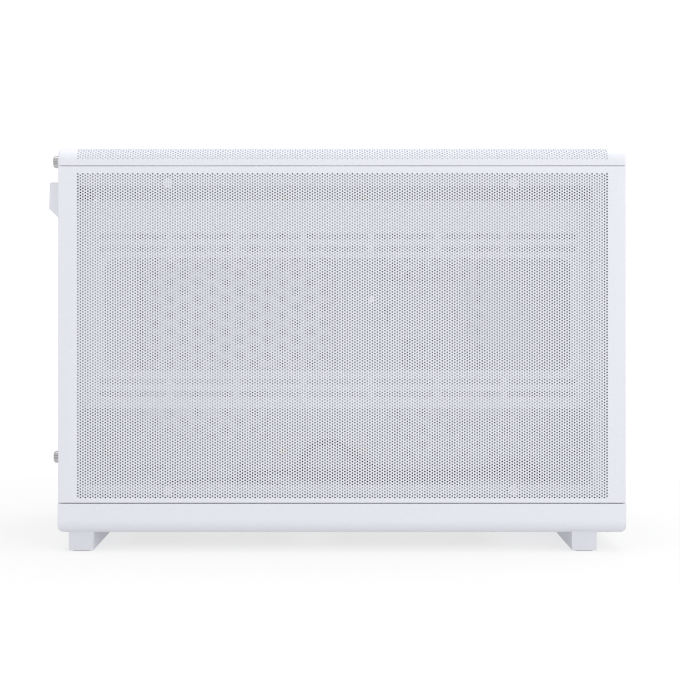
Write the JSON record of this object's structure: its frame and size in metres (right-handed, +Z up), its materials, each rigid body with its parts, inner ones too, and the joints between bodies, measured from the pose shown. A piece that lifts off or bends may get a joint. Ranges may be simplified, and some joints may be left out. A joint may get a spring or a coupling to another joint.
{
  "type": "desktop computer tower",
  "caption": "Compact white sheet-steel desktop computer tower with fine mesh covers, shallow plinth base and two bar feet, shown as an empty chassis.",
  "frame": {"origin": "on the surface it stands on, under the middle of its bounding box", "axes": "+X toward the front face, -Y toward the left side panel, +Z up"},
  "size_m": [0.453, 0.194, 0.315],
  "materials": {
    "white_coat": "satin white powder coat",
    "pad_rubber": "matte",
    "standoff_brass": "satin",
    "screw_steel": "zinc plated",
    "dark_chrome": "polished",
    "black_plastic": "matte",
    "contact_metal": "bright nickel",
    "white_plastic": "satin",
    "filter_plastic": "matte",
    "board_resin": "satin",
    "clear_plastic": "frosted",
    "cable_black": "matte"
  },
  "bodies": {
    "chassis": {"base_shroud": "white_coat", "foot_rear": "white_coat", "foot_front": "white_coat", "foot_pads": "pad_rubber", "chassis_floor": "white_coat", "rear_panel": "white_coat", "top_frame": "white_coat", "front_frame": "white_coat", "motherboard_tray": "white_coat", "standoffs": "standoff_brass", "slot_cover_1": "white_coat", "slot_cover_2": "white_coat", "slot_cover_3": "white_coat", "slot_cover_4": "white_coat", "slot_screws": "screw_steel", "side_fan_bracket": "white_coat", "bracket_screws": "screw_steel", "psu_bracket": "white_coat", "psu_bracket_screws": "screw_steel", "drive_plate": "white_coat", "drive_plate_screws": "screw_steel", "exhaust_grille": "white_coat", "inlet_hood": "white_coat", "inlet_socket": "black_plastic", "inlet_pins": "contact_metal", "rail_sockets": "white_plastic", "front_sockets": "white_plastic", "io_board": "board_resin", "usb_a_ports": "contact_metal", "usb_c_port": "contact_metal", "audio_jack": "black_plastic", "switch_body": "black_plastic", "power_light": "clear_plastic", "cable_grommet": "cable_black", "usb_cable": "cable_black", "usb_connector": "black_plastic", "type_c_cable": "cable_black", "type_c_connector": "black_plastic", "audio_cable": "cable_black", "audio_connector": "black_plastic"},
    "left_panel": {"left_side_panel": "white_coat", "left_panel_studs": "screw_steel"},
    "right_panel": {"right_side_panel": "white_coat", "right_panel_studs": "screw_steel"},
    "cover": {"top_cover": "white_coat"},
    "front": {"front_panel": "white_coat", "front_panel_studs": "screw_steel"},
    "filter": {"bottom_filter_frame": "filter_plastic", "bottom_filter_mesh": "filter_plastic"},
    "button": {"power_button": "white_plastic"},
    "bar": {"slot_bar": "white_coat"},
    "bar_screw": {"slot_bar_thumbscrew": "dark_chrome"},
    "cover_screw_left": {"top_thumbscrew_left": "dark_chrome"},
    "cover_screw_right": {"top_thumbscrew_right": "dark_chrome"}
  },
  "joints": [
    {"name": "left_panel_pull", "type": "slide", "parent": "chassis", "child": "left_panel", "axis": [0, -1, 0], "range_m": [0, 0.15]},
    {"name": "right_panel_pull", "type": "slide", "parent": "chassis", "child": "right_panel", "axis": [0, 1, 0], "range_m": [0, 0.15]},
    {"name": "top_cover_lift", "type": "slide", "parent": "chassis", "child": "cover", "axis": [0, 0, 1], "range_m": [0, 0.1]},
    {"name": "front_panel_pull", "type": "slide", "parent": "chassis", "child": "front", "axis": [1, 0, 0], "range_m": [0, 0.1]},
    {"name": "filter_slide", "type": "slide", "parent": "chassis", "child": "filter", "axis": [-1, 0, 0], "range_m": [0, 0.3]},
    {"name": "power_button_press", "type": "slide", "parent": "chassis", "child": "button", "axis": [-1, 0, 0], "range_m": [0, 0.0015], "stiffness_N_per_m": 600},
    {"name": "slot_bar_pull", "type": "slide", "parent": "chassis", "child": "bar", "axis": [-1, 0, 0], "range_m": [0, 0.03]},
    {"name": "bar_screw_turn", "type": "hinge", "parent": "bar", "child": "bar_screw", "pos_m": [-0.2164, -0.086, 0.0733], "axis": [-1, 0, 0], "continuous": true},
    {"name": "left_cover_screw_turn", "type": "hinge", "parent": "chassis", "child": "cover_screw_left", "pos_m": [-0.2166, -0.087, 0.3049], "axis": [-1, 0, 0], "continuous": true},
    {"name": "right_cover_screw_turn", "type": "hinge", "parent": "chassis", "child": "cover_screw_right", "pos_m": [-0.2166, 0.087, 0.3049], "axis": [-1, 0, 0], "continuous": true}
  ]
}
